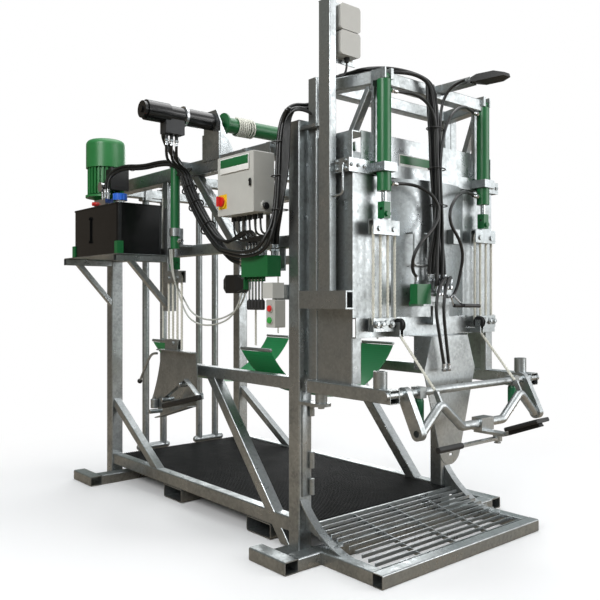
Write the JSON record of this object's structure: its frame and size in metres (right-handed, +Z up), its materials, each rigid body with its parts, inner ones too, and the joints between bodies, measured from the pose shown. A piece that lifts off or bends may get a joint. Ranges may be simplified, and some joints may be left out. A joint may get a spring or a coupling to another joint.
{
  "type": "hoof trimming chute",
  "caption": "Galvanised standing frame for cattle with belly slings, lift cylinders with rope tackles, a swinging rear gate and hydraulic power unit.",
  "frame": {"origin": "on the ground in the middle of the front skid's underside, on the object's mid plane", "axes": "+X towards the rear gate and its leg bar, +Y towards the far side, +Z up"},
  "size_m": [2.9817, 1.792, 2.545],
  "materials": {
    "galvanised_steel": "hot-dip galvanised",
    "green_enamel": "gloss enamel",
    "black_enamel": "satin enamel",
    "grey_enamel": "powder coat",
    "white_rope": "braided",
    "green_webbing": "woven",
    "black_rubber": "matt",
    "black_hose": "satin",
    "green_rubber": "matt",
    "red_plastic": "gloss",
    "green_plastic": "gloss",
    "yellow_plastic": "satin",
    "black_plastic": "satin"
  },
  "bodies": {
    "frame": {"posts": "galvanised_steel", "ground_frame": "galvanised_steel", "floor_frame": "galvanised_steel", "side_frames": "galvanised_steel", "fork_pockets": "galvanised_steel", "floor_mat": "black_rubber", "roof_frame": "galvanised_steel", "entry_ramp": "galvanised_steel", "front_leg_boards": "black_rubber", "front_lift_mounts": "galvanised_steel", "front_lift_cylinders": "green_enamel", "oil_tank": "black_enamel", "pump_motor": "green_enamel", "winch_bracket": "galvanised_steel", "winch_motor": "black_enamel", "control_box": "grey_enamel", "valve_bank": "green_enamel", "button_box": "yellow_plastic", "side_hoses": "black_hose"},
    "gate": {"gate_frame": "galvanised_steel", "gate_sheets": "galvanised_steel", "gate_curved_sheet": "galvanised_steel", "gate_drop_plate": "galvanised_steel", "gate_mast": "galvanised_steel", "rear_lift_mounts": "galvanised_steel", "rear_lift_cylinders": "green_enamel", "rear_valve": "green_enamel", "gate_hoses": "black_hose"},
    "near_front_rod": {"near_front_lift": "green_enamel", "near_front_rope": "white_rope"},
    "far_front_rod": {"far_front_lift": "green_enamel", "far_front_rope": "white_rope"},
    "near_rear_rod": {"near_rear_lift": "green_enamel", "near_rear_rope": "white_rope"},
    "far_rear_rod": {"far_rear_lift": "green_enamel", "far_rear_rope": "white_rope"},
    "leg_bar_set": {"leg_bar": "galvanised_steel", "leg_bar_buffers": "green_rubber", "foot_clamp": "galvanised_steel", "leg_ropes": "white_rope"},
    "clamp_lever": {"foot_clamp_lever": "galvanised_steel"},
    "rear_lever_a": {"rear_lever_near": "black_plastic"},
    "rear_lever_b": {"rear_lever_far": "black_plastic"},
    "arm": {"top_arm": "galvanised_steel"},
    "latch": {"latch_bar": "galvanised_steel"},
    "near_neck_gate": {"head_gate_near": "galvanised_steel"},
    "far_neck_gate": {"head_gate_far": "galvanised_steel"},
    "door": {"control_box_door": "grey_enamel"},
    "switch_knob": {"main_switch": "red_plastic"},
    "stop": {"stop_button": "red_plastic"},
    "start": {"start_button": "green_plastic"},
    "drum": {"winch_drum": "green_enamel", "drum_rope": "white_rope"},
    "slings": {"belly_slings": "green_webbing", "sling_ropes": "white_rope"},
    "lever_1": {"valve_lever_1": "black_plastic"},
    "lever_2": {"valve_lever_2": "black_plastic"},
    "lever_3": {"valve_lever_3": "black_plastic"},
    "lever_4": {"valve_lever_4": "black_plastic"},
    "lever_5": {"valve_lever_5": "black_plastic"}
  },
  "joints": [
    {"name": "gate_swing", "type": "hinge", "parent": "frame", "child": "gate", "pos_m": [-0.026, -0.525, 1], "axis": [0, 0, 1], "range_deg": [-95, 0]},
    {"name": "near_front_stroke", "type": "slide", "parent": "frame", "child": "near_front_rod", "axis": [0, 0, -1], "range_m": [0, 0.3], "deforming": ["near_front_rope"]},
    {"name": "near_rear_stroke", "type": "slide", "parent": "gate", "child": "near_rear_rod", "axis": [0, 0, -1], "range_m": [0, 0.3], "deforming": ["near_rear_rope"]},
    {"name": "far_front_stroke", "type": "slide", "parent": "frame", "child": "far_front_rod", "axis": [0, 0, -1], "range_m": [0, 0.3], "deforming": ["far_front_rope"]},
    {"name": "far_rear_stroke", "type": "slide", "parent": "gate", "child": "far_rear_rod", "axis": [0, 0, -1], "range_m": [0, 0.3], "deforming": ["far_rear_rope"]},
    {"name": "leg_bar_swing", "type": "hinge", "parent": "gate", "child": "leg_bar_set", "pos_m": [0.409, 0, 0.792], "axis": [0, -1, 0], "range_deg": [0, 75], "deforming": ["leg_ropes"]},
    {"name": "clamp_lever_turn", "type": "hinge", "parent": "leg_bar_set", "child": "clamp_lever", "pos_m": [0.564, 0, 0.574], "axis": [0, 0, 1], "range_deg": [0, 50]},
    {"name": "rear_lever_near_tilt", "type": "hinge", "parent": "gate", "child": "rear_lever_a", "pos_m": [0.2993, -0.008, 1.206], "axis": [0, 1, 0], "range_deg": [-12, 12], "stiffness_Nm_per_rad": 2},
    {"name": "rear_lever_far_tilt", "type": "hinge", "parent": "gate", "child": "rear_lever_b", "pos_m": [0.2993, 0.02, 1.206], "axis": [0, 1, 0], "range_deg": [-12, 12], "stiffness_Nm_per_rad": 2},
    {"name": "top_arm_swing", "type": "hinge", "parent": "gate", "child": "arm", "pos_m": [0.26, 0, 2.192], "axis": [0, -1, 0], "range_deg": [0, 70]},
    {"name": "latch_lift", "type": "slide", "parent": "gate", "child": "latch", "axis": [0, 0, 1], "range_m": [0, 0.06]},
    {"name": "near_neck_close", "type": "slide", "parent": "frame", "child": "near_neck_gate", "axis": [0, -1, 0], "range_m": [0, 0.12]},
    {"name": "far_neck_close", "type": "slide", "parent": "frame", "child": "far_neck_gate", "axis": [0, 1, 0], "range_m": [0, 0.12]},
    {"name": "door_swing", "type": "hinge", "parent": "frame", "child": "door", "pos_m": [-0.598, -0.704, 1.75], "axis": [0, 0, -1], "range_deg": [0, 120]},
    {"name": "switch_turn", "type": "hinge", "parent": "door", "child": "switch_knob", "pos_m": [-0.547, -0.73, 1.676], "axis": [0, 1, 0], "range_deg": [0, 90]},
    {"name": "lever_1_tilt", "type": "hinge", "parent": "frame", "child": "lever_1", "pos_m": [-0.432, -0.635, 1.288], "axis": [1, 0, 0], "range_deg": [-20, 20], "stiffness_Nm_per_rad": 2},
    {"name": "lever_2_tilt", "type": "hinge", "parent": "frame", "child": "lever_2", "pos_m": [-0.406, -0.635, 1.288], "axis": [1, 0, 0], "range_deg": [-20, 20], "stiffness_Nm_per_rad": 2},
    {"name": "lever_3_tilt", "type": "hinge", "parent": "frame", "child": "lever_3", "pos_m": [-0.38, -0.635, 1.288], "axis": [1, 0, 0], "range_deg": [-20, 20], "stiffness_Nm_per_rad": 2},
    {"name": "lever_4_tilt", "type": "hinge", "parent": "frame", "child": "lever_4", "pos_m": [-0.354, -0.635, 1.288], "axis": [1, 0, 0], "range_deg": [-20, 20], "stiffness_Nm_per_rad": 2},
    {"name": "lever_5_tilt", "type": "hinge", "parent": "frame", "child": "lever_5", "pos_m": [-0.328, -0.635, 1.288], "axis": [1, 0, 0], "range_deg": [-20, 20], "stiffness_Nm_per_rad": 2},
    {"name": "stop_press", "type": "slide", "parent": "frame", "child": "stop", "axis": [0, 1, 0], "range_m": [0, 0.006], "stiffness_N_per_m": 400},
    {"name": "start_press", "type": "slide", "parent": "frame", "child": "start", "axis": [0, 1, 0], "range_m": [0, 0.006], "stiffness_N_per_m": 400},
    {"name": "drum_turn", "type": "hinge", "parent": "frame", "child": "drum", "pos_m": [-0.876, 0, 2.16], "axis": [0, 1, 0], "range_deg": [0, 351]},
    {"name": "sling_lift", "type": "slide", "parent": "frame", "child": "slings", "axis": [0, 0, 1], "range_m": [0, 0.3], "deforming": ["sling_ropes"]}
  ],
  "couplings": [
    {"joint": "far_neck_close", "follows": "near_neck_close", "ratio": 1},
    {"joint": "sling_lift", "follows": "drum_turn", "m_per_rad": 0.0482}
  ]
}
